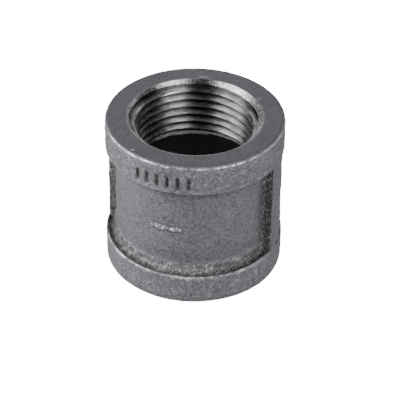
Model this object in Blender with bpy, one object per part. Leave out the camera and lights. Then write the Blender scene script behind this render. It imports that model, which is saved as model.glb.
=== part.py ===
"""Banded pipe coupling in malleable iron, one-inch tapered pipe thread at both ends.

The coupling is a single casting.  Two equal bands stiffen its ends, a slimmer body joins them,
and two ribs run between the bands along the parting line of the mould.  Each end face is
machined flat and countersunk, and a right-hand tapered thread is cut into it.  A wider cast
recess separates the two threads, so that each tap runs out into it.

Frame: Z is the pipe axis, the origin is the centre of the lower end face, the ribs lie on X.
"""
import math

import bmesh
import bpy

MM = 0.001

# Outside of the casting.
LENGTH = 41.8 * MM
BAND_RADIUS = 22.6 * MM
BAND_HEIGHT = 8.2 * MM
BODY_RADIUS = 20.0 * MM
RIM_ROUND = 1.3 * MM
LIP_ROUND = 0.5 * MM
LEDGE_WIDTH = 1.1 * MM
FLARE_RADIUS = 4.5 * MM

# Two ribs between the bands.
RIB_RADIUS = 22.3 * MM
RIB_HALF_WIDTH = 3.9 * MM
RIB_CORNER_ROUND = 0.8 * MM
RIB_FOOT_FILLET = 1.2 * MM
RIB_ROOT_RADIUS = 18.4 * MM
RIB_END_COVER = 3.0 * MM

# Raised tally bar on the body, midway between the ribs.
TALLY_LENGTH = 8.0 * MM
TALLY_THICKNESS = 1.1 * MM
TALLY_HEIGHT = 0.4 * MM

# One-inch tapered pipe thread: 11.5 turns per inch, taper 1 in 16 on diameter.
PITCH = 25.4 * MM / 11.5
THREAD_DEPTH = 0.8 * PITCH
GAUGE_RADIUS = 31.461 * MM / 2
RADIUS_TAPER = 1 / 32
THREAD_LENGTH = 14.7 * MM
THREAD_START_DEGREES = 150.0
COUNTERSINK_RADIUS = 17.05 * MM
RECESS_RADIUS = 16.2 * MM

# Facets around the axis and along each arc.
SEGMENTS = 64
ARC_STEPS = 3
SHARP_EDGE_DEGREES = 30

# How far a cutter runs past what it cuts, and how far the plain bore stays inside the thread.
CUT_PAST = 1.0 * MM
CORE_GAP = 0.05 * MM


def clear_scene():
    for thing in list(bpy.data.objects):
        bpy.data.objects.remove(thing, do_unlink=True)


def arc(centre, radius, start, end, steps):
    """Points on an arc; angles in degrees, 0 along the first coordinate."""
    points = []
    for step in range(steps + 1):
        angle = math.radians(start + (end - start) * step / steps)
        points.append((centre[0] + radius * math.cos(angle), centre[1] + radius * math.sin(angle)))
    return points


def object_from(mesh_data, name):
    """Turn a bmesh into a named, smooth-shaded object whose faces point outwards."""
    bmesh.ops.recalc_face_normals(mesh_data, faces=mesh_data.faces)
    mesh = bpy.data.meshes.new(name)
    mesh_data.to_mesh(mesh)
    mesh_data.free()
    mesh.shade_smooth()
    mesh.set_sharp_from_angle(angle=math.radians(SHARP_EDGE_DEGREES))
    thing = bpy.data.objects.new(name, mesh)
    bpy.context.scene.collection.objects.link(thing)
    return thing


def turned_solid(name, profile):
    """Solid of revolution about Z; profile is a list of (radius, z), from bottom to top."""
    made = bmesh.new()
    rings = []
    for radius, z in profile:
        ring = []
        for segment in range(SEGMENTS):
            angle = 2 * math.pi * segment / SEGMENTS
            ring.append(made.verts.new((radius * math.cos(angle), radius * math.sin(angle), z)))
        rings.append(ring)
    for lower, upper in zip(rings, rings[1:]):
        for segment in range(SEGMENTS):
            after = (segment + 1) % SEGMENTS
            made.faces.new((lower[segment], lower[after], upper[after], upper[segment]))
    made.faces.new(rings[0])
    made.faces.new(rings[-1])
    return object_from(made, name)


def extruded_outline(name, outline, low, high):
    """Prism along Z between two heights; outline is a closed list of (x, y)."""
    made = bmesh.new()
    base = made.faces.new([made.verts.new((x, y, low)) for x, y in outline])
    grown = bmesh.ops.extrude_face_region(made, geom=[base])
    moved = [item for item in grown["geom"] if isinstance(item, bmesh.types.BMVert)]
    bmesh.ops.translate(made, verts=moved, vec=(0, 0, high - low))
    return object_from(made, name)


def end_band_profile():
    """Lower band from its end face up to the body, as (radius, z)."""
    rim_centre = (BAND_RADIUS - RIM_ROUND, RIM_ROUND)
    lip_centre = (BAND_RADIUS - LIP_ROUND, BAND_HEIGHT - LIP_ROUND)
    flare_end = BAND_RADIUS - LIP_ROUND - LEDGE_WIDTH
    flare_centre_radius = BODY_RADIUS + FLARE_RADIUS
    flare_angle = math.degrees(math.acos((flare_centre_radius - flare_end) / FLARE_RADIUS))
    flare_centre = (flare_centre_radius, BAND_HEIGHT + FLARE_RADIUS * math.sin(math.radians(flare_angle)))
    profile = arc(rim_centre, RIM_ROUND, -90, 0, ARC_STEPS)
    profile += arc(lip_centre, LIP_ROUND, 0, 90, 2)
    profile += arc(flare_centre, FLARE_RADIUS, 180 + flare_angle, 180, ARC_STEPS)
    return profile


def mirrored(profile):
    """The same end at the other end of the coupling, in order from bottom to top."""
    return [(radius, LENGTH - z) for radius, z in reversed(profile)]


def make_blank():
    """The casting before its ribs are joined and its bore is cut."""
    profile = end_band_profile()
    return turned_solid("coupling_casting", profile + mirrored(profile))


def rib_outline():
    """Cross-section of the rib on +X: round outer face, round corners, filleted feet."""
    corner_reach = RIB_RADIUS - RIB_CORNER_ROUND
    corner_y = RIB_HALF_WIDTH - RIB_CORNER_ROUND
    corner_x = math.sqrt(corner_reach ** 2 - corner_y ** 2)
    corner_turn = math.degrees(math.atan2(corner_y, corner_x))
    foot_reach = BODY_RADIUS + RIB_FOOT_FILLET
    foot_y = RIB_HALF_WIDTH + RIB_FOOT_FILLET
    foot_x = math.sqrt(foot_reach ** 2 - foot_y ** 2)
    foot_turn = math.degrees(math.atan2(foot_y, foot_x))
    upper = arc((0, 0), RIB_RADIUS, 0, corner_turn, ARC_STEPS)
    upper += arc((corner_x, corner_y), RIB_CORNER_ROUND, corner_turn, 90, ARC_STEPS)[1:]
    upper += arc((foot_x, foot_y), RIB_FOOT_FILLET, 270, 180 + foot_turn, ARC_STEPS)
    upper.append((RIB_ROOT_RADIUS, foot_y))
    lower = [(x, -y) for x, y in reversed(upper[1:])]
    return upper + lower


def make_rib(name, turn_degrees):
    rib = extruded_outline(name, rib_outline(), BAND_HEIGHT - RIB_END_COVER,
                           LENGTH - BAND_HEIGHT + RIB_END_COVER)
    rib.rotation_euler = (0, 0, math.radians(turn_degrees))
    return rib


def make_tally():
    """Raised bar at mid height that follows the body's curve on the -Y side."""
    half_turn = math.degrees(TALLY_LENGTH / 2 / BODY_RADIUS)
    outline = arc((0, 0), BODY_RADIUS + TALLY_HEIGHT, -90 - half_turn, -90 + half_turn, ARC_STEPS)
    outline += arc((0, 0), BODY_RADIUS - 2 * TALLY_HEIGHT, -90 + half_turn, -90 - half_turn, ARC_STEPS)
    low = (LENGTH - TALLY_THICKNESS) / 2
    return extruded_outline("tally_bar", outline, low, low + TALLY_THICKNESS)


def crest_radius(depth):
    """Radius of the thread's crest, its narrowest part, at a depth below the end face."""
    return GAUGE_RADIUS - THREAD_DEPTH / 2 - depth * RADIUS_TAPER


def bore_foot_radius():
    """Radius of the plain bore where the thread ends."""
    return crest_radius(THREAD_LENGTH) - CORE_GAP


def recess_depth():
    """Depth at which the bore has widened, at 45 degrees, to the recess."""
    return THREAD_LENGTH + RECESS_RADIUS - bore_foot_radius()


def bore_end_profile():
    """Countersink, plain tapered bore under the thread, and recess, from the lower end face."""
    throat_depth = COUNTERSINK_RADIUS - crest_radius(0) + CORE_GAP
    return [
        (COUNTERSINK_RADIUS + CUT_PAST, -CUT_PAST),
        (COUNTERSINK_RADIUS - throat_depth, throat_depth),
        (bore_foot_radius(), THREAD_LENGTH),
        (RECESS_RADIUS, recess_depth()),
    ]


def make_bore_cutter():
    profile = bore_end_profile()
    return turned_solid("bore_cutter", profile + mirrored(profile))


def close_with_fan(made, loop):
    """Close an open end with triangles that meet on the axis."""
    height = sum(vert.co.z for vert in loop) / len(loop)
    centre = made.verts.new((0, 0, height))
    for here, after in zip(loop, loop[1:] + loop[:1]):
        made.faces.new((here, after, centre))


def make_tap(name):
    """Threaded tap for the upper end, a helical grid whose rows alternate valley and ridge.

    The helix is right-handed, so a row climbs by one pitch in a turn and its last column meets
    the first column two rows higher.  A valley row cuts the end face at THREAD_START_DEGREES.
    """
    start_turn = THREAD_START_DEGREES / 360
    turns_below_face = math.ceil(recess_depth() / PITCH + 1 - start_turn)
    rows = 2 * (turns_below_face + 1)
    made = bmesh.new()
    grid = []
    for row in range(rows + 1):
        ring = []
        for segment in range(SEGMENTS):
            turn = segment / SEGMENTS
            depth = PITCH * (turns_below_face - row / 2 - turn + start_turn)
            radius = crest_radius(depth) + (THREAD_DEPTH if row % 2 else 0)
            angle = 2 * math.pi * turn
            place = (radius * math.cos(angle), radius * math.sin(angle), LENGTH - depth)
            ring.append(made.verts.new(place))
        grid.append(ring)
    for lower, upper in zip(grid, grid[1:]):
        for segment in range(SEGMENTS - 1):
            made.faces.new((lower[segment], lower[segment + 1], upper[segment + 1], upper[segment]))
    for row in range(rows - 2):
        made.faces.new((grid[row][-1], grid[row + 2][0], grid[row + 3][0], grid[row + 1][-1]))
    close_with_fan(made, grid[0] + [grid[2][0], grid[1][0]])
    close_with_fan(made, grid[-1] + [grid[-2][-1], grid[-3][-1]])
    return object_from(made, name)


def combine(target, tool, operation):
    """Boolean a helper solid into the target; the helper itself isn't part of the model."""
    tool.hide_render = True
    tool.display_type = "WIRE"
    step = target.modifiers.new(tool.name, "BOOLEAN")
    step.operation = operation
    step.solver = "EXACT"
    step.object = tool


def cast_iron_material():
    material = bpy.data.materials.new("cast_iron")
    material.use_nodes = True
    shader = material.node_tree.nodes["Principled BSDF"]
    shader.inputs["Base Color"].default_value = (0.15, 0.15, 0.16, 1)
    shader.inputs["Metallic"].default_value = 0.6
    shader.inputs["Roughness"].default_value = 0.55
    return material


def main():
    clear_scene()
    casting = make_blank()
    for name, turn_degrees in (("rib_right", 0), ("rib_left", 180)):
        combine(casting, make_rib(name, turn_degrees), "UNION")
    combine(casting, make_tally(), "UNION")
    combine(casting, make_bore_cutter(), "DIFFERENCE")
    combine(casting, make_tap("tap_upper"), "DIFFERENCE")
    tap_lower = make_tap("tap_lower")
    tap_lower.rotation_euler = (math.pi, 0, 0)
    tap_lower.location = (0, 0, LENGTH)
    combine(casting, tap_lower, "DIFFERENCE")
    casting.data.materials.append(cast_iron_material())


main()
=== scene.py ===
import math

import bmesh
import bpy
import numpy as np
from mathutils import Matrix, Vector, noise


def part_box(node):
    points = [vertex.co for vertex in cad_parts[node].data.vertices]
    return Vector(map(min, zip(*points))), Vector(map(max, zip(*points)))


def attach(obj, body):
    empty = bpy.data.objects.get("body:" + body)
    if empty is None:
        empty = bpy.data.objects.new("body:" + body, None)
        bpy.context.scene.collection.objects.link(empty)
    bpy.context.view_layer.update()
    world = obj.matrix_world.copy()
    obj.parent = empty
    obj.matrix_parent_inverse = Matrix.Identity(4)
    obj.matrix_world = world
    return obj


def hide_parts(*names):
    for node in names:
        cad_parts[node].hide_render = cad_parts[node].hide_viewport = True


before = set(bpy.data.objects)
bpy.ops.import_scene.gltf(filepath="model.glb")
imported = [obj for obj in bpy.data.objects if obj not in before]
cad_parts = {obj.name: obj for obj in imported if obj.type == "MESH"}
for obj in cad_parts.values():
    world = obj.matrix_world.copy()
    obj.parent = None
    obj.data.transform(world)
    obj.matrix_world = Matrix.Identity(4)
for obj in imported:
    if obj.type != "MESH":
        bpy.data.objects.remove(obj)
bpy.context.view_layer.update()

MM = 0.001
NODE = "coupling_casting"

# Driving dimensions.  The band's radius and the length come from the frame.  The rest repeats
# the CAD part's named values, or refines them where its shape is coarse.
NODE_LOW, NODE_HIGH = (Vector(corner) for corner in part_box(NODE))
BAND_RADIUS = (NODE_HIGH.x - NODE_LOW.x) / 2
LENGTH = NODE_HIGH.z - NODE_LOW.z
BAND_HEIGHT = 8.2 * MM
BODY_RADIUS = 20.0 * MM
RIM_ROUND = 1.3 * MM
RIM_SQUARENESS = 0.6
LIP_ROUND = 0.4 * MM
LEDGE_WIDTH = 1.1 * MM
LEDGE_DIP = 0.4 * MM
FLARE_RADIUS = 4.5 * MM
RIB_RADIUS = 22.3 * MM
RIB_HALF_WIDTH = 3.9 * MM
RIB_DRAFT = 0.45 * MM
RIB_FILLET = 2.0 * MM
RIB_FILLET_RISE = 0.42
RIB_FILLET_POWER = 2.6
RIB_WAVER = 0.15 * MM
RIB_SWELL = 0.16 * MM
PITCH = 25.4 * MM / 11.5
THREAD_DEPTH = 0.8 * PITCH
GAUGE_RADIUS = 31.461 * MM / 2
RADIUS_TAPER = 1 / 32
THREAD_LENGTH = 14.7 * MM
THREAD_START = math.radians(150)
BACK_ANGLE = math.radians(109)
RUNOUT_SLOPE = 2.6
COUNTERSINK_RADIUS = 17.05 * MM
RECESS_RADIUS = 16.2 * MM

# Where the side with the marks faces, and the marks: a row of sunk bars and a raised tally bar.
MARK_ANGLE = math.radians(-91.5)
MARK_BARS = 6
MARK_PITCH = 2.7 * MM
MARK_BAR_WIDTH, MARK_BAR_HEIGHT = 0.95 * MM, 3.3 * MM
MARK_HEIGHT = LENGTH - 5.0 * MM
MARK_DEPTH = 0.3 * MM
TALLY_LENGTH = 8.0 * MM
TALLY_HALF_HEIGHT = 0.6 * MM
TALLY_RISE = 0.35 * MM

# How rough the cast skin is, and how far its looks reach from the edges of the ribs.  The
# swells, orange peel and grain are in millimetres.
SWELLS, PEEL, GRAIN = 0.05, 0.06, 0.05
COARSE_RELIEF = 0.09 * MM
RECESS_RELIEF = 0.12 * MM
RIB_FACE_EDGE = 0.3 * MM
FLANK_REACH = 1.3 * MM
RIB_SHADE = 4.0 * MM
BESIDE_RIB = 7.0 * MM

# Shares of dark scale, sand and painted shade, and the flare's strip left light as a painted highlight.
SCALE_AND_SHADE = 0.6
SHADE_LEAN = 0.13
LEDGE_SHADE = 0.27
BAR_SHADE = 1.1
TALLY_SHADE = 0.6
BAND_GRIT = 0.45
LEAST_SAND_AND_SHADE = 0.2
SAND_AND_SHADE = 0.58
LIT_STRIP_LIFT = 0.5
LIT_STRIP_OUT = 0.6 * MM
LIT_STRIP_SPREAD = 0.3 * MM

# Shares of bright wear and painted highlight, and where they lie: round the rim their angle and
# spread are in radians.
RIM_WEAR_AND_HIGHLIGHT = 2.0
RIM_HIGHLIGHT_TURN = -0.55
RIM_HIGHLIGHT_SPREAD = 0.17
BAND_WEAR_AND_BOUNCE_LIGHT = 0.04
LIP_WEAR_AND_HIGHLIGHT = 0.4
LIP_HIGHLIGHT_REACH = 0.9 * MM
TALLY_WEAR = 0.85
LUMP_WEAR = 0.55

# The bore's torn metal, the painted shade in its thread roots and recess, and the worn ring round
# its mouth, which also carries a painted highlight.
TORN_METAL = 0.01 * MM
ROOT_SHADE = 0.82
RECESS_SHADE = 2.0
MOUTH_EDGE = 0.3 * MM

# How finely the casting is built, and how its outer columns crowd at rib edges and marks.
OUTER_COLUMNS = 352
RIB_EDGE_CROWDING = 4.5
RIB_EDGE_OUT = 0.3 * MM
RIB_EDGE_SPREAD = 0.6 * MM
MARK_CROWDING = 0.7
MARK_REACH = math.radians(26)
MARK_FADE = math.radians(6)
RIM_STEPS = 10
BAND_STEPS = 16
LIP_STEPS = 4
FLARE_STEPS = 10
BODY_STEPS = 22
BORE_COLUMNS = 288
RECESS_ROWS = 8

# Where the rows of each thread lie within one turn, from crest past root to crest, the flat on
# each side of a crest as a share of a turn, and how near to the bore's rings a row joins them.
UPPER_TURN = (0.0, 0.03, 0.09, 0.2, 0.32, 0.43, 0.5, 0.57, 0.68, 0.8, 0.91, 0.97)
LOWER_TURN = (0.0, 0.04, 0.2, 0.4, 0.5, 0.6, 0.8, 0.96)
CREST_FLAT = 0.03
END_MARGIN = 0.02 * MM

# Material slots on the casting, and how many rows of the outside each turned face takes up.
CAST, FACED, THREADED = range(3)
FACED_ROWS = 6
SHARP_EDGE = math.radians(38)


def ease(value):
    """Smooth step from 0 to 1 for numbers or arrays."""
    value = np.clip(value, 0, 1)
    return value * value * (3 - 2 * value)


def bell(value):
    """Smooth peak of 1 at zero, which has sunk to about a third at -1 and 1."""
    return np.exp(-np.square(value))


def wobble(points, wavelength, seed):
    """Smooth noise between about -1 and 1 at each point, its bumps one wavelength apart."""
    shift = Vector((seed * 3.1, seed * 7.7, seed * 5.3))
    scaled = np.asarray(points).reshape(-1, 3) / wavelength
    values = [noise.noise(Vector(point) + shift) for point in scaled]
    return np.array(values).reshape(np.shape(points)[:-1])


def cylinder_points(radius, angle, z):
    """Positions from cylindrical coordinates, given as arrays of one shape."""
    return np.stack([radius * np.cos(angle), radius * np.sin(angle), z], -1)


def arc_from(angle, centre):
    """Signed angular distance from a centre, between -pi and pi."""
    return (angle - centre + math.pi) % (2 * math.pi) - math.pi


def rib_offset(angle):
    """Distance along the band from the middle of the nearer rib."""
    return RIB_RADIUS * np.abs(arc_from(2 * angle, 0)) / 2


def outer_angles():
    """Column angles, closer together at the ribs' edges and across the marks."""
    fine = np.linspace(0, 2 * math.pi, 7201)
    past_edge = rib_offset(fine) - RIB_HALF_WIDTH
    at_edges = bell((past_edge - RIB_EDGE_OUT) / RIB_EDGE_SPREAD)
    at_marks = ease((MARK_REACH - np.abs(arc_from(fine, MARK_ANGLE))) / MARK_FADE)
    density = np.cumsum(1 + RIB_EDGE_CROWDING * at_edges + MARK_CROWDING * at_marks)
    share = np.arange(OUTER_COLUMNS) / OUTER_COLUMNS
    return np.interp(density[0] + share * (density[-1] - density[0]), density, fine)


def station(radius, z, relief=1.0, rib=1.0, coarse=0.0, wear_and_highlight=0.0):
    """One row of the outside: its radius and height, and the shares of what lies on it.

    The shares are of the cast relief, of the ribs, of the coarse roughness that the sand leaves
    in corners, and of wear and painted highlight.
    """
    return radius, z, relief, rib, coarse, wear_and_highlight


def rim_stations():
    """Lower end face, from the countersink outwards, and its rounded rim."""
    flat_edge = BAND_RADIUS - RIM_ROUND
    stations = []
    for share in (0.4, 0.7, 0.9):
        radius = COUNTERSINK_RADIUS + share * (flat_edge - COUNTERSINK_RADIUS)
        stations.append(station(radius, 0, relief=0, rib=0))
    for turn in np.radians(np.linspace(-90, 0, RIM_STEPS + 1)):
        radius = flat_edge + RIM_ROUND * max(math.cos(turn), 0) ** RIM_SQUARENESS
        z = RIM_ROUND * (1 - math.sin(-turn) ** RIM_SQUARENESS)
        relief = float(ease((turn + math.pi / 2) / 1.2))
        # The rim's wear is also a painted highlight, a bright line where the rounding faces the lights.
        wear_and_highlight = RIM_WEAR_AND_HIGHLIGHT * float(bell((turn - RIM_HIGHLIGHT_TURN) / RIM_HIGHLIGHT_SPREAD))
        stations.append(station(radius, z, relief, rib=0, wear_and_highlight=wear_and_highlight))
    return stations


def band_stations():
    """Outer face of the lower band, and its rounded inner lip."""
    lip_z = BAND_HEIGHT - LIP_ROUND
    stations = []
    for z in np.linspace(RIM_ROUND, lip_z, BAND_STEPS + 1)[1:]:
        # The bands' faint wear also paints in light from below, and near the lip a painted highlight.
        wear_and_highlight = BAND_WEAR_AND_BOUNCE_LIGHT + LIP_WEAR_AND_HIGHLIGHT * float(ease(1 + (z - lip_z) / LIP_HIGHLIGHT_REACH))
        stations.append(station(BAND_RADIUS, z, rib=0, coarse=BAND_GRIT, wear_and_highlight=wear_and_highlight))
    # The lip's rounding is worn bright, which is also a painted highlight.
    for turn in np.radians(np.linspace(0, 90, LIP_STEPS + 1))[1:]:
        radius = BAND_RADIUS - LIP_ROUND * (1 - math.cos(turn))
        stations.append(station(radius, lip_z + LIP_ROUND * math.sin(turn), wear_and_highlight=1))
    return stations


def shoulder_stations():
    """Ledge behind the band's lip, the flare from it to the body, and the body to mid height."""
    ledge_outer = BAND_RADIUS - LIP_ROUND
    stations = []
    for share in (0.3, 0.65, 1.0):
        dip = LEDGE_DIP * math.sin(math.pi * share)
        stations.append(station(ledge_outer - share * LEDGE_WIDTH, BAND_HEIGHT - dip, coarse=share))
    flare_axis = BODY_RADIUS + FLARE_RADIUS
    flare_angle = math.acos((flare_axis - ledge_outer + LEDGE_WIDTH) / FLARE_RADIUS)
    flare_top = BAND_HEIGHT + FLARE_RADIUS * math.sin(flare_angle)
    for share in np.linspace(1, 0, FLARE_STEPS + 1)[1:]:
        radius = flare_axis - FLARE_RADIUS * math.cos(flare_angle * share)
        z = flare_top - FLARE_RADIUS * math.sin(flare_angle * share)
        stations.append(station(radius, z, coarse=float(ease(1.6 * share))))
    for share in np.linspace(0, 1, BODY_STEPS + 1)[1:]:
        climbed = 1 - (1 - share) ** 1.3
        stations.append(station(BODY_RADIUS, flare_top + (LENGTH / 2 - flare_top) * climbed))
    return stations


def outer_profile():
    """The whole outside as rows of stations, from the lower end face to the upper one."""
    lower = np.array(rim_stations() + band_stations() + shoulder_stations())
    upper = lower[-2::-1].copy()
    upper[:, 1] = LENGTH - upper[:, 1]
    return np.concatenate([lower, upper])


def rib_heights(profile_z):
    """Heights of the rows where they cross a rib, which has no ledges to dip into."""
    steps = np.maximum(np.diff(profile_z), 0.06 * MM)
    climbed = np.concatenate([[0], np.cumsum(steps)])
    return LENGTH / 2 + (climbed - climbed[-1] / 2) * LENGTH / climbed[-1]


def past_rib_edge(angle, z):
    """Distance round the part from the nearer edge of a rib, negative on its outer face."""
    places = cylinder_points(np.full_like(z, RIB_RADIUS), angle, z)
    ragged = wobble(places, 5 * MM, 11) + 0.6 * wobble(places, 1.6 * MM, 12)
    return rib_offset(angle) - RIB_HALF_WIDTH - RIB_WAVER * ragged


def rib_share(past_edge):
    """How far the surface is from the body, 0, to a rib's outer face, 1."""
    side = 1 - past_edge / RIB_DRAFT
    fillet = RIB_FILLET_RISE * np.clip(1 - past_edge / RIB_FILLET, 0, 1) ** RIB_FILLET_POWER
    return np.clip(np.maximum(side, fillet), 0, 1)


def mark_bars(angle, z):
    """1 inside the row of upright bars on the upper band."""
    along = BAND_RADIUS * arc_from(angle, MARK_ANGLE)
    reach = MARK_PITCH * (MARK_BARS - 1) / 2
    nearest = np.clip(np.round((along + reach) / MARK_PITCH) * MARK_PITCH - reach, -reach, reach)
    across = ease(0.5 + (MARK_BAR_WIDTH / 2 - np.abs(along - nearest)) / (0.35 * MM))
    upright = ease(0.5 + (MARK_BAR_HEIGHT / 2 - np.abs(z - MARK_HEIGHT)) / (0.5 * MM))
    return across * upright


def tally(angle, z, base):
    """Ragged raised bar, 0 to 1, and the painted shade round it, 0 to 1."""
    along = BODY_RADIUS * np.abs(arc_from(angle, MARK_ANGLE))
    above = np.abs(z - LENGTH / 2 - 0.1 * MM * wobble(base, 2 * MM, 10))
    within = ease((TALLY_LENGTH / 2 - along) / (0.6 * MM) + 0.5)
    lumps = np.clip(0.75 + 1.8 * wobble(base, 1.1 * MM, 4), 0.1, 1.3)
    raised = within * ease((TALLY_HALF_HEIGHT - above) / (0.4 * MM) + 0.5) * lumps
    edge = within * bell((above - TALLY_HALF_HEIGHT - 0.2 * MM) / (0.25 * MM))
    return raised, edge


def cast_relief(points):
    """Height of the sand-cast skin: swells, orange peel and grain."""
    swells = SWELLS * wobble(points, 6 * MM, 1)
    peel = PEEL * wobble(points, 1.7 * MM, 2)
    grain = GRAIN * wobble(points, 0.9 * MM, 3)
    return (swells + peel + grain) * MM


def grid_normals(points):
    """Outward unit normals of a grid whose rows climb and whose columns go round."""
    around = np.roll(points, -1, 1) - np.roll(points, 1, 1)
    up = np.gradient(points, axis=0)
    normals = np.cross(around, up)
    return normals / np.maximum(np.linalg.norm(normals, axis=-1, keepdims=True), 1e-12)


class Outside:
    """The outside as a grid, with a row for each profile station and a column for each angle."""

    def __init__(self):
        profile = outer_profile()
        self.angle, radius = np.meshgrid(outer_angles(), profile[:, 0])
        z, self.relief, self.ribbed, self.coarse, self.worn_and_highlit = (
            np.repeat(column[:, None], OUTER_COLUMNS, 1) for column in profile[:, 1:].T)
        self.past_edge = past_rib_edge(self.angle, z)
        self.rib = rib_share(self.past_edge) * self.ribbed
        self.radius = radius + (RIB_RADIUS - radius) * self.rib
        self.z = z + (rib_heights(profile[:, 1])[:, None] - z) * self.rib
        self.base = cylinder_points(self.radius, self.angle, self.z)
        self.bars = mark_bars(self.angle, self.z)
        self.raised, self.tally_shade = tally(self.angle, self.z, self.base)
        self.on_face = ease(-self.past_edge / RIB_FACE_EDGE) * self.ribbed
        self.flank = bell(self.past_edge / FLANK_REACH) * self.ribbed * (1 - self.on_face)
        self.corner = np.maximum(self.coarse * (1 - self.on_face), self.flank)
        self.lumps = wobble(self.base, 1.1 * MM, 5) + 0.6 * wobble(self.base, 0.7 * MM, 8)

    def height(self):
        """How far the cast skin and the marks stand out from the smooth shape."""
        rough = cast_relief(self.base) + COARSE_RELIEF * self.corner * self.lumps
        height = rough * self.relief * (1 - 0.8 * self.bars)
        height += TALLY_RISE * self.raised * self.ribbed - MARK_DEPTH * self.bars
        height += RIB_SWELL * self.rib * wobble(self.base, 4 * MM, 14)
        return height

    def grime_and_shade(self):
        """Painted shade in the marks, round the tally bar and behind the lips, dark scale on the
        ribs' sides with painted shade in the fillets beside them, and sand and painted shade in
        corners.

        The scale and the shade beside the ribs and behind the lips are a little darker on the +X
        side.  The sand and its shade are thicker towards the lower end, and are left off the narrow
        strip where the flare begins to open out from the body, which stays light as a painted
        highlight band.
        """
        by_rib = bell(self.past_edge / BESIDE_RIB)
        # Dark scale and painted shade, a little darker on the +X side.
        scale = SCALE_AND_SHADE + SHADE_LEAN * np.cos(self.angle)
        # Painted shade in the fillets beside the ribs, reaching onto the body.
        shade = ease((RIB_SHADE - self.past_edge) / (0.8 * RIB_SHADE))
        fillet = shade * self.ribbed * (1 - self.on_face)
        # Painted shade in the hollow behind each lip.
        ledge = ledge_shade(self.radius, self.z, by_rib) * (1 - self.on_face) * (scale + LEDGE_SHADE)
        # The sand and its painted shade are thicker towards the lower end.
        towards_lower_end = 0.4 + 0.6 * ease(1.5 - 2 * self.z / LENGTH)
        # A strip of the flare is left light, a painted highlight band.
        lit_strip = bell((self.radius - BODY_RADIUS - LIT_STRIP_OUT) / LIT_STRIP_SPREAD) * (1 - by_rib)
        patchy = 1 - 0.3 * np.clip(self.lumps, -1, 1)
        sand = LEAST_SAND_AND_SHADE + self.ribbed * towards_lower_end * (SAND_AND_SHADE - 0.04 * by_rib - LIT_STRIP_LIFT * lit_strip)
        return np.maximum.reduce([
            # Painted shade in the sunk bars.
            BAR_SHADE * self.bars,
            # Painted shade round the tally bar.
            TALLY_SHADE * self.tally_shade,
            scale * self.flank,
            scale * fillet,
            ledge,
            self.corner * patchy * sand,
        ])

    def wear_and_highlight(self):
        """Bright metal on rims, lips and bands, on the tally bar and on the tops of the coarse lumps.

        On the rims and lips it is also a painted highlight, and on the bands also painted
        light from below.
        """
        broad = wobble(self.base, 3 * MM, 9)
        fine = wobble(self.base, 1.2 * MM, 13)
        scuffed = np.clip(0.5 + 1.2 * broad + fine, 0, 1)
        tops = np.clip(1.8 * self.lumps - 0.05, 0, 1)
        on_tally = TALLY_WEAR * self.raised * self.ribbed
        return self.worn_and_highlit * scuffed + on_tally + LUMP_WEAR * self.corner * tops

    def add_to(self, skin):
        """Store the rough grid and its looks in a skin, and give back the points' indices."""
        points = self.base + grid_normals(self.base) * self.height()[..., None]
        return skin.add_points(points, self.grime_and_shade(), self.wear_and_highlight(), self.corner)


def ledge_shade(radius, z, by_rib):
    """Painted shade behind each band's inner lip, darker at the lower one and by the ribs.

    A thin painted shade also lies on the body where the flare begins.
    """
    from_end = np.minimum(z, LENGTH - z)
    middle = BAND_RADIUS - LIP_ROUND - (0.75 + 0.2 * by_rib) * LEDGE_WIDTH
    lower = 0.1 + 0.9 * ease(1.5 - 2 * z / LENGTH)
    spread = (0.52 + 0.38 * by_rib) * MM
    groove = bell((radius - middle) / spread) * bell((from_end - BAND_HEIGHT) / (2 * spread))
    shade = 0.2 * bell((from_end - BAND_HEIGHT - FLARE_RADIUS) / (2 * MM))
    return lower * np.maximum(groove, shade)


def crest_radius(depth):
    """Radius of the thread's crest, its narrowest part, at a depth below the end face."""
    return GAUGE_RADIUS - THREAD_DEPTH / 2 - depth * RADIUS_TAPER


def runout_depth():
    """Depth by which the bore has widened all round to the recess."""
    return THREAD_LENGTH + RECESS_RADIUS - crest_radius(THREAD_LENGTH)


def runout_radius(angle, depth, sense):
    """Radius of the steep shoulder that ends the thread.

    It follows the last crest round the helix, and crosses back by one pitch near +-180 degrees
    from the middle of the back wall.
    """
    from_back = arc_from(angle, BACK_ANGLE)
    helix = sense * from_back / (2 * math.pi) * ease((math.pi - np.abs(from_back)) / 0.6)
    end = THREAD_LENGTH - PITCH * helix
    return np.minimum(RECESS_RADIUS, crest_radius(THREAD_LENGTH) + RUNOUT_SLOPE * (depth - end))


def thread_grid(turn_shares, sense):
    """Angles, depths, radii and painted root shade of one thread; rows follow the helix, columns go
    round.

    Depths are below the end face.  sense is 1 for the upper thread and -1 for the lower one,
    which is the same thread turned end for end.
    """
    angle = np.arange(BORE_COLUMNS) * 2 * math.pi / BORE_COLUMNS
    turns = range(-2, math.ceil(runout_depth() / PITCH) + 2)
    row = np.array([turn + share for turn in turns for share in turn_shares])
    depth = PITCH * (row[:, None] - (sense * angle - THREAD_START) / (2 * math.pi))
    beside = np.abs(row - np.round(row))[:, None]
    groove = np.clip((beside - CREST_FLAT) / (0.5 - 2 * CREST_FLAT), 0, 1)
    thread = crest_radius(depth) + THREAD_DEPTH * groove
    shoulder = np.maximum(COUNTERSINK_RADIUS - depth, runout_radius(angle, depth, sense))
    # The roots are painted dark, a painted shade.
    grime_and_shade = np.where(thread > shoulder, ROOT_SHADE * ease((groove - 0.08) / 0.7), 0)
    return angle, depth, np.maximum(thread, shoulder), grime_and_shade


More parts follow.
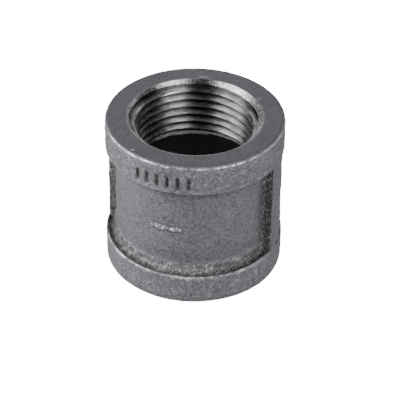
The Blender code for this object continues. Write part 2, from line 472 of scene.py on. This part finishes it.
class Skin:
    """Vertices with their looks, and faces with their material slots, of the closed casting."""

    # The grime share also carries painted shade, and the wear share painted highlights.
    LOOKS = ("grime_and_shade", "wear_and_highlight", "grit")

    def __init__(self):
        self.points = np.zeros((0, 3))
        self.looks = np.zeros((0, len(self.LOOKS)))
        self.faces = []
        self.slots = []

    def add_points(self, points, grime_and_shade=0.0, wear_and_highlight=0.0, grit=0.0):
        """Store a grid or a ring of points, and give back their indices in the same shape."""
        shape = np.shape(points)[:-1]
        first = len(self.points)
        looks = np.stack([np.broadcast_to(look, shape) for look in (grime_and_shade, wear_and_highlight, grit)], -1)
        self.points = np.concatenate([self.points, np.reshape(points, (-1, 3))])
        self.looks = np.concatenate([self.looks, looks.reshape(-1, len(self.LOOKS))])
        return first + np.arange(len(self.points) - first).reshape(shape)

    def add_face(self, corners, slot):
        """Store a face, leaving out corners that have run together at a boundary."""
        kept = [here for here, before in zip(corners, corners[-1:] + corners[:-1]) if here != before]
        if len(kept) > 2:
            self.faces.append(kept)
            self.slots.append(slot)

    def add_wall(self, grid, slot):
        """Faces between the rows of a grid whose last column repeats where it closes."""
        corners = np.stack([grid[:-1, :-1], grid[:-1, 1:], grid[1:, 1:], grid[1:, :-1]], -1)
        for face in corners.reshape(-1, 4).tolist():
            self.add_face(face, slot)

    def add_end_face(self, outer, inner, slot):
        """Flat annulus between two rings that go round the same way from the same angle."""
        rings = (outer.tolist(), inner.tolist())
        steps = [((place + 1) / len(ring), kind, place)
                 for kind, ring in enumerate(rings) for place in range(len(ring))]
        reached = [0, 0]
        for _, kind, place in sorted(steps):
            after = (place + 1) % len(rings[kind])
            across = rings[1 - kind][reached[1 - kind]]
            corners = [rings[kind][place], rings[kind][after], across]
            self.add_face(corners if kind == 0 else corners[::-1], slot)
            reached[kind] = after

    def to_object(self, name):
        """Mesh object of the stored faces, with one point attribute for each look."""
        used, renumbered = np.unique(np.concatenate(self.faces), return_inverse=True)
        ends = np.cumsum([len(face) for face in self.faces])[:-1]
        faces = [part.tolist() for part in np.split(renumbered, ends)]
        mesh = bpy.data.meshes.new(name)
        mesh.from_pydata(self.points[used].tolist(), [], faces)
        mesh.polygons.foreach_set("material_index", self.slots)
        for column, attribute in enumerate(self.LOOKS):
            layer = mesh.attributes.new(attribute, "FLOAT", "POINT")
            layer.data.foreach_set("value", self.looks[used, column].astype(np.float32))
        thing = bpy.data.objects.new(name, mesh)
        bpy.context.scene.collection.objects.link(thing)
        return thing


def closed(grid):
    """The same grid with its first column repeated at the end."""
    return np.hstack([grid, grid[:, :1]])


def bore_ring(radius, z):
    """Ring of points round the bore, one for each of its columns."""
    angle = np.arange(BORE_COLUMNS) * 2 * math.pi / BORE_COLUMNS
    return cylinder_points(np.full(BORE_COLUMNS, radius), angle, np.full(BORE_COLUMNS, z))


def threaded_wall(skin, turn_shares, sense):
    """Mouth ring, recess ring, and the rows from countersink to runout between them.

    All are indices, and the rows go inwards.  Those that have not started at the mouth, or have
    run past the recess, share its ring.  The helix makes a row's last column meet the first
    column of the row one turn before or after.  The wear and highlight share marks where the
    countersink is, and on the mouth ring it is also a painted highlight.  The rows' roots and
    the recess ring are painted dark as shade.
    """
    angle, depth, radius, grime_and_shade = thread_grid(turn_shares, sense)
    angle = angle + np.zeros_like(depth)
    deepest = runout_depth()
    torn = TORN_METAL * wobble(cylinder_points(radius, angle, depth), 0.6 * MM, 6)
    height = LENGTH - depth if sense > 0 else depth
    mouth_z, recess_z = (LENGTH, LENGTH - deepest) if sense > 0 else (0, deepest)
    countersunk = depth < COUNTERSINK_RADIUS - crest_radius(0) - 0.5 * MM
    rows = skin.add_points(cylinder_points(radius + torn, angle, height), grime_and_shade, wear_and_highlight=countersunk)
    # The mouth ring is painted bright, a painted highlight.
    mouth = skin.add_points(bore_ring(COUNTERSINK_RADIUS, mouth_z), wear_and_highlight=1)
    # The recess ring is painted near black, a painted shade.
    recess = skin.add_points(bore_ring(RECESS_RADIUS, recess_z), grime_and_shade=RECESS_SHADE)
    rows = np.where(depth < END_MARGIN, mouth, np.where(depth > deepest - END_MARGIN, recess, rows))
    per_turn = len(turn_shares)
    if sense > 0:
        closing = np.concatenate([np.full(per_turn, mouth[0]), rows[:-per_turn, 0]])
    else:
        closing = np.concatenate([rows[per_turn:, 0], np.full(per_turn, recess[0])])
    return mouth, recess, np.hstack([rows, closing[:, None]])


def recess_rows(skin):
    """Cast wall between the two threads, from the top down, without its two end rings."""
    heights = np.linspace(LENGTH - runout_depth(), runout_depth(), RECESS_ROWS + 2)[1:-1]
    smooth = np.array([bore_ring(RECESS_RADIUS, z) for z in heights])
    outward = smooth * (1, 1, 0) / RECESS_RADIUS
    rough = RECESS_RELIEF * wobble(smooth, 2.5 * MM, 7)
    # The recess wall is painted near black, a painted shade in the deep hollow.
    return skin.add_points(smooth + outward * rough[..., None], grime_and_shade=RECESS_SHADE)


def make_casting():
    """The whole casting as one closed mesh, smooth except at its steep edges."""
    skin = Skin()
    outside = Outside().add_to(skin)
    upper_mouth, upper_recess, upper_rows = threaded_wall(skin, UPPER_TURN, 1)
    lower_mouth, lower_recess, lower_rows = threaded_wall(skin, LOWER_TURN, -1)
    recess = np.vstack([upper_recess, recess_rows(skin), lower_recess])
    skin.add_wall(closed(outside[:FACED_ROWS]), FACED)
    skin.add_wall(closed(outside[FACED_ROWS - 1:1 - FACED_ROWS]), CAST)
    skin.add_wall(closed(outside[-FACED_ROWS:]), FACED)
    skin.add_wall(upper_rows, THREADED)
    skin.add_wall(closed(recess), CAST)
    skin.add_wall(lower_rows[::-1], THREADED)
    upper_edge = skin.add_points(bore_ring(COUNTERSINK_RADIUS + MOUTH_EDGE, LENGTH))
    lower_edge = skin.add_points(bore_ring(COUNTERSINK_RADIUS + MOUTH_EDGE, 0))
    skin.add_wall(closed(np.array([upper_edge, upper_mouth])), FACED)
    skin.add_wall(closed(np.array([lower_mouth, lower_edge])), FACED)
    skin.add_end_face(outside[-1], upper_edge, FACED)
    skin.add_end_face(lower_edge, outside[0], FACED)
    casting = skin.to_object("casting")
    casting.data.shade_smooth()
    casting.data.set_sharp_from_angle(angle=SHARP_EDGE)
    return casting


class Nodes:
    """Short calls for building one material's node tree."""

    def __init__(self, name):
        self.material = bpy.data.materials.new(name)
        self.material.use_nodes = True
        self.tree = self.material.node_tree
        self.shader = self.tree.nodes["Principled BSDF"]

    def node(self, kind, **settings):
        made = self.tree.nodes.new("ShaderNode" + kind)
        for key, value in settings.items():
            setattr(made, key, value)
        return made

    def link(self, source, target):
        self.tree.links.new(source, target)

    def coordinates(self, scale=(1, 1, 1)):
        """Object coordinates in metres, stretched by a scale."""
        place = self.node("TexCoord").outputs["Object"]
        mapping = self.node("Mapping")
        mapping.inputs["Scale"].default_value = scale
        self.link(place, mapping.inputs["Vector"])
        return mapping.outputs["Vector"]

    def noise(self, wavelength, detail=2.0, roughness=0.5, scale=(1, 1, 1)):
        made = self.node("TexNoise")
        made.inputs["Scale"].default_value = 1 / wavelength
        made.inputs["Detail"].default_value = detail
        made.inputs["Roughness"].default_value = roughness
        self.link(self.coordinates(scale), made.inputs["Vector"])
        return made.outputs["Fac"]

    def math(self, operation, first, second=None, clamp=False):
        made = self.node("Math", operation=operation, use_clamp=clamp)
        for socket, value in zip(made.inputs, (first, second)):
            if value is None:
                continue
            if isinstance(value, (int, float)):
                socket.default_value = value
            else:
                self.link(value, socket)
        return made.outputs[0]

    def spread(self, value, low, high):
        """Map a value from 0..1 to low..high."""
        made = self.node("MapRange")
        self.link(value, made.inputs["Value"])
        made.inputs["To Min"].default_value = low
        made.inputs["To Max"].default_value = high
        return made.outputs["Result"]

    def contrast(self, value, low, high):
        """Map a value from low..high to 0..1."""
        made = self.node("MapRange")
        self.link(value, made.inputs["Value"])
        made.inputs["From Min"].default_value = low
        made.inputs["From Max"].default_value = high
        return made.outputs["Result"]

    def blend(self, share, first, second):
        """Colour between two colours, each a tuple or a socket."""
        made = self.node("Mix", data_type="RGBA")
        self.link(share, made.inputs[0])
        for socket, value in ((made.inputs[6], first), (made.inputs[7], second)):
            if isinstance(value, tuple):
                socket.default_value = (*value, 1)
            else:
                self.link(value, socket)
        return made.outputs[2]

    def bump(self, height, distance, strength=1.0, below=None):
        made = self.node("Bump")
        made.inputs["Strength"].default_value = strength
        made.inputs["Distance"].default_value = distance
        self.link(height, made.inputs["Height"])
        if below is not None:
            self.link(below, made.inputs["Normal"])
        return made.outputs["Normal"]

    def painted(self, attribute):
        """Share of grime and painted shade, wear and painted highlight, or grit at each point."""
        return self.node("Attribute", attribute_name=attribute).outputs["Fac"]


def cast_material():
    """Sand-cast malleable iron with its dark annealing scale, painted shade in hollows and painted
    highlights on rims and lips.
    """
    made = Nodes("cast_skin")
    shader = made.shader
    patches = made.contrast(made.noise(5 * MM, 3.0), 0.35, 0.68)
    specks = made.contrast(made.noise(0.52 * MM, 2.0, 0.6), 0.34, 0.68)
    scale = made.blend(patches, (0.078, 0.0755, 0.092), (0.106, 0.103, 0.122))
    mottled = made.blend(specks, scale, (0.2, 0.195, 0.215))
    pits = made.contrast(made.noise(0.66 * MM, 2.0, 0.6), 0.38, 0.3)
    pitted = made.blend(pits, mottled, (0.04, 0.038, 0.042))
    grit = made.painted("grit")
    glints = made.contrast(made.noise(0.47 * MM, 1.0, 0.6), 0.64, 0.7)
    glints = made.math("MULTIPLY", glints, made.spread(grit, 0.4, 1.4), clamp=True)
    skin = made.blend(glints, pitted, (0.4, 0.39, 0.42))
    dust = made.math("MULTIPLY", made.contrast(grit, 0.5, 1.0), 0.2)
    dusted = made.blend(dust, skin, (0.25, 0.235, 0.19))
    crumbs = made.contrast(made.noise(0.5 * MM, 2.0, 0.7), 0.45, 0.58)
    # Worn metal, which on rims and lips is also a painted highlight and on the bands painted light.
    wear_and_highlight = made.math("MULTIPLY", made.painted("wear_and_highlight"), made.spread(crumbs, 0.2, 1.4), clamp=True)
    worn_and_highlit = made.blend(wear_and_highlight, dusted, (0.66, 0.65, 0.68))
    # Near black for scale and sand, and painted shade in the marks, hollows, fillets and recess.
    grime_and_shade = made.math("MULTIPLY", made.painted("grime_and_shade"), made.spread(crumbs, 1.15, 0.6), clamp=True)
    made.link(made.blend(grime_and_shade, worn_and_highlit, (0.015, 0.0135, 0.012)), shader.inputs["Base Color"])
    polish = made.math("MULTIPLY", wear_and_highlight, -0.22)
    made.link(made.math("ADD", made.spread(specks, 0.38, 0.48), polish), shader.inputs["Roughness"])
    made.link(made.spread(wear_and_highlight, 0.3, 0.9), shader.inputs["Metallic"])
    sand = made.math("MULTIPLY", made.noise(0.5 * MM, 3.0, 0.65), made.spread(grit, 1, 3))
    made.link(made.bump(sand, 0.21 * MM), shader.inputs["Normal"])
    return made.material


def faced_material():
    """End face, turned flat and dulled by handling, with a painted highlight on the worn ring round
    the bore's mouth.
    """
    made = Nodes("faced_iron")
    shader = made.shader
    specks = made.contrast(made.noise(0.42 * MM, 2.0, 0.6), 0.36, 0.66)
    patches = made.contrast(made.noise(4 * MM, 2.0), 0.35, 0.68)
    tone = made.blend(patches, (0.052, 0.0495, 0.061), (0.069, 0.066, 0.08))
    face = made.blend(specks, tone, (0.117, 0.113, 0.128))
    nicks = made.contrast(made.noise(1.5 * MM, 2.0, 0.6, (0.25, 1.0, 1.0)), 0.7, 0.76)
    # The worn ring round the mouth is painted bright, a painted highlight.
    edge = made.math("MULTIPLY", made.painted("wear_and_highlight"), made.spread(specks, 0.3, 1.0))
    rubbed_and_highlit = made.math("MAXIMUM", edge, nicks)
    made.link(made.blend(rubbed_and_highlit, face, (0.4, 0.395, 0.4)), shader.inputs["Base Color"])
    made.link(made.spread(specks, 0.48, 0.6), shader.inputs["Roughness"])
    shader.inputs["Metallic"].default_value = 0.3
    made.link(made.bump(made.noise(0.5 * MM, 3.0, 0.6), 0.07 * MM), shader.inputs["Normal"])
    return made.material


def thread_material():
    """Bright cut metal, with tool marks round the bore and chatter marks on the countersink."""
    made = Nodes("cut_thread")
    shader = made.shader
    streaks = made.noise(0.3 * MM, 2.0, 0.6, (0.06, 0.06, 1.0))
    torn = made.contrast(made.noise(0.38 * MM, 3.0, 0.7, (0.12, 0.12, 1.0)), 0.34, 0.66)
    on_countersink = made.painted("wear_and_highlight")
    ripples = made.noise(0.6 * MM, 2.0, 0.6, (1.0, 1.0, 0.2))
    chatter = made.math("MULTIPLY", ripples, on_countersink)
    bright = made.blend(torn, (0.47, 0.47, 0.48), (1.0, 1.0, 1.0))
    dulled = made.blend(made.contrast(chatter, 0.4, 0.68), bright, (0.25, 0.25, 0.26))
    # Near black in the roots and at the recess ring, a painted shade.
    made.link(made.blend(made.painted("grime_and_shade"), dulled, (0.01, 0.01, 0.01)), shader.inputs["Base Color"])
    matt = made.math("MULTIPLY", on_countersink, 0.06)
    made.link(made.math("ADD", made.spread(torn, 0.28, 0.36), matt), shader.inputs["Roughness"])
    shader.inputs["Metallic"].default_value = 1.0
    shader.inputs["Anisotropic"].default_value = 0.9
    shader.inputs["Anisotropic Rotation"].default_value = 0.25
    marks = made.bump(streaks, 0.07 * MM)
    made.link(made.bump(chatter, 0.07 * MM, below=marks), shader.inputs["Normal"])
    return made.material


casting = make_casting()
for material in (cast_material(), faced_material(), thread_material()):
    casting.data.materials.append(material)
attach(casting, "root")
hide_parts(NODE)

# Camera: to the left of a rib, looking down into the bore.
CAMERA_TURN = math.radians(19.0)
CAMERA_TILT = math.radians(36.42)
CAMERA_ROLL = math.radians(0.78)
CAMERA_DISTANCE = 23.2 * BAND_RADIUS
CAMERA_ASIDE = 0.065 * BAND_RADIUS
AIM = Vector((0, 0, 0.698 * BAND_RADIUS))
LENS = 183.7
STAGE_SIZE = 3.0
STAGE_GLOW = 17.0
TABLE_GLOW = 0.3
ROOM_GLOW = 0.02
LIGHT_DISTANCE = 0.6

# Name, angle from the camera, height and roll in degrees, width and height in metres, and power.
SOFTBOXES = (
    ("left_wall", -83, 3, 0, 0.54, 0.25, 5.1),
    ("left_key", -72, 39, 24, 0.48, 0.25, 3.3),
    ("right_key", 43, 49, -16, 0.32, 0.2, 1.2),
    ("right_front", 42, 12, 0, 0.42, 0.2, 3.4),
    ("right_rim", 120, 3, 0, 0.2, 0.2, 0.4),
    ("back", 180, 35, 0, 0.2, 0.2, 0.6),
)


def turned(angle, tilt):
    """Direction from the part towards something at an angle from -Y and a height in degrees."""
    flat = Vector((math.sin(angle), -math.cos(angle), 0))
    return flat * math.cos(tilt) + Vector((0, 0, math.sin(tilt)))


def add_camera():
    data = bpy.data.cameras.new("camera")
    data.lens = LENS
    camera = bpy.data.objects.new("camera", data)
    bpy.context.scene.collection.objects.link(camera)
    towards = turned(CAMERA_TURN, CAMERA_TILT)
    aside = Vector((math.cos(CAMERA_TURN), math.sin(CAMERA_TURN), 0)) * CAMERA_ASIDE
    look = (-towards).to_track_quat("-Z", "Y").to_matrix().to_4x4()
    camera.matrix_world = (Matrix.Translation(AIM + towards * CAMERA_DISTANCE + aside) @ look
                           @ Matrix.Rotation(CAMERA_ROLL, 4, "Z"))
    bpy.context.scene.camera = camera


def add_softbox(name, angle_degrees, tilt_degrees, roll_degrees, width, height, power):
    """Rectangular area light that faces the part; roll raises its end nearer the camera."""
    data = bpy.data.lights.new(name, "AREA")
    data.shape = "RECTANGLE"
    data.size = width
    data.size_y = height
    data.energy = power
    light = bpy.data.objects.new(name, data)
    bpy.context.scene.collection.objects.link(light)
    towards = turned(CAMERA_TURN + math.radians(angle_degrees), math.radians(tilt_degrees))
    facing = (-towards).to_track_quat("-Z", "Y").to_matrix().to_4x4()
    light.matrix_world = (Matrix.Translation(AIM + towards * LIGHT_DISTANCE) @ facing
                          @ Matrix.Rotation(math.radians(roll_degrees), 4, "Z"))


def add_stage(name, shape, **dimensions):
    """Pale glowing floor or backdrop, which the camera sees and the part doesn't reflect."""
    mesh = bpy.data.meshes.new(name)
    made = bmesh.new()
    shape(made, **dimensions)
    made.to_mesh(mesh)
    made.free()
    stage = bpy.data.objects.new(name, mesh)
    bpy.context.scene.collection.objects.link(stage)
    material = bpy.data.materials.new(name)
    material.use_nodes = True
    shader = material.node_tree.nodes["Principled BSDF"]
    shader.inputs["Base Color"].default_value = (0.8, 0.8, 0.8, 1)
    shader.inputs["Roughness"].default_value = 0.9
    shader.inputs["Specular IOR Level"].default_value = 0.0
    shader.inputs["Emission Color"].default_value = (1, 1, 1, 1)
    shader.inputs["Emission Strength"].default_value = STAGE_GLOW
    mesh.materials.append(material)
    stage.visible_diffuse = False
    stage.visible_glossy = False
    stage.visible_shadow = False


def add_world():
    """Dark studio above the part, and the glow of a pale table from below."""
    world = bpy.data.worlds.new("studio")
    world.use_nodes = True
    tree = world.node_tree
    place = tree.nodes.new("ShaderNodeTexCoord")
    split = tree.nodes.new("ShaderNodeSeparateXYZ")
    glow = tree.nodes.new("ShaderNodeMapRange")
    ranges = {"From Min": -0.1, "From Max": 0.1, "To Min": TABLE_GLOW, "To Max": ROOM_GLOW}
    for socket, value in ranges.items():
        glow.inputs[socket].default_value = value
    tree.links.new(place.outputs["Generated"], split.inputs["Vector"])
    tree.links.new(split.outputs["Z"], glow.inputs["Value"])
    tree.links.new(glow.outputs["Result"], tree.nodes["Background"].inputs["Strength"])
    tree.nodes["Background"].inputs["Color"].default_value = (1, 1, 1, 1)
    bpy.context.scene.world = world


add_camera()
for softbox in SOFTBOXES:
    add_softbox(*softbox)
add_stage("pale_floor", bmesh.ops.create_grid, x_segments=1, y_segments=1, size=STAGE_SIZE)
add_stage("pale_backdrop", bmesh.ops.create_icosphere, subdivisions=4, radius=STAGE_SIZE)
add_world()
